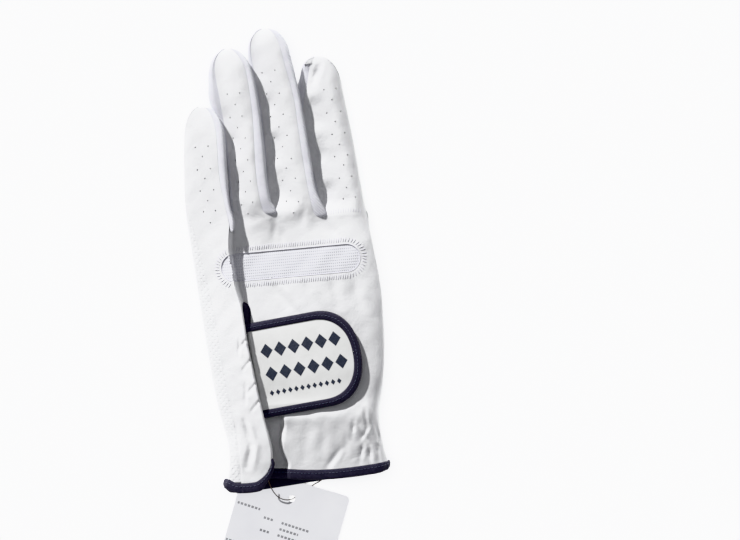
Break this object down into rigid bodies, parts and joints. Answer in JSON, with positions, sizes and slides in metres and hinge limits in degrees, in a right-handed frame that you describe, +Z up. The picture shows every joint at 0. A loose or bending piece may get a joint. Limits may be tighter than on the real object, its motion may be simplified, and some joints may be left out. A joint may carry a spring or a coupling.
{
  "type": "golf glove",
  "caption": "Left-hand golf glove lying palm down, with a knit knuckle strip, knit finger sides, a slit back with a hook-and-loop closing tab, and a blank card tag on a string.",
  "frame": {"origin": "on the flat underside of the palm, at the surface the glove lies on", "axes": "+Y from the cuff to the fingertips, +X towards the index finger and thumb, +Z up through the back of the hand"},
  "size_m": [0.107, 0.319, 0.0194],
  "materials": {
    "white_leather": "matte thin leather with fine grain",
    "white_knit": "matte ribbed knit",
    "white_mesh": "matte open mesh knit",
    "tab_white": "smooth satin",
    "hook_tape": "hooked nylon tape",
    "loop_cloth": "brushed loop cloth",
    "navy_tape": "matte woven tape",
    "elastic_tape": "ribbed elastic",
    "card": "smooth coated card",
    "thread": "thin cotton string"
  },
  "bodies": {
    "root": {"palm_panel": "white_leather", "back_panel": "white_leather", "fourchette_little_ring": "white_knit", "fourchette_ring_middle": "white_knit", "fourchette_middle_index": "white_knit", "knuckle_mesh": "white_mesh", "loop_patch": "loop_cloth", "slit_binding": "navy_tape", "cuff_binding": "navy_tape", "wrist_elastic_left": "elastic_tape", "wrist_elastic_right": "elastic_tape"},
    "thumb": {"thumb_panel": "white_leather"},
    "tab": {"tab_hook_pad": "hook_tape", "tab_face": "tab_white", "tab_binding": "navy_tape"},
    "tag": {"hang_tag": "card", "tag_string": "thread"}
  },
  "joints": [
    {"name": "tab_peel", "type": "hinge", "parent": "root", "child": "tab", "pos_m": [-0.021, -0.0241, 0.0138], "axis": [0.0958, -0.9954, 0], "range_deg": [0, 140]},
    {"name": "thumb_swing", "type": "hinge", "parent": "root", "child": "thumb", "pos_m": [0.027, -0.01, 0], "axis": [0, 0, -1], "range_deg": [0, 65]},
    {"name": "tag_swing", "type": "hinge", "parent": "root", "child": "tag", "pos_m": [-0.013, -0.086, 0], "axis": [0, 0, 1], "range_deg": [-25, 25], "deforming": ["tag_string"]}
  ]
}
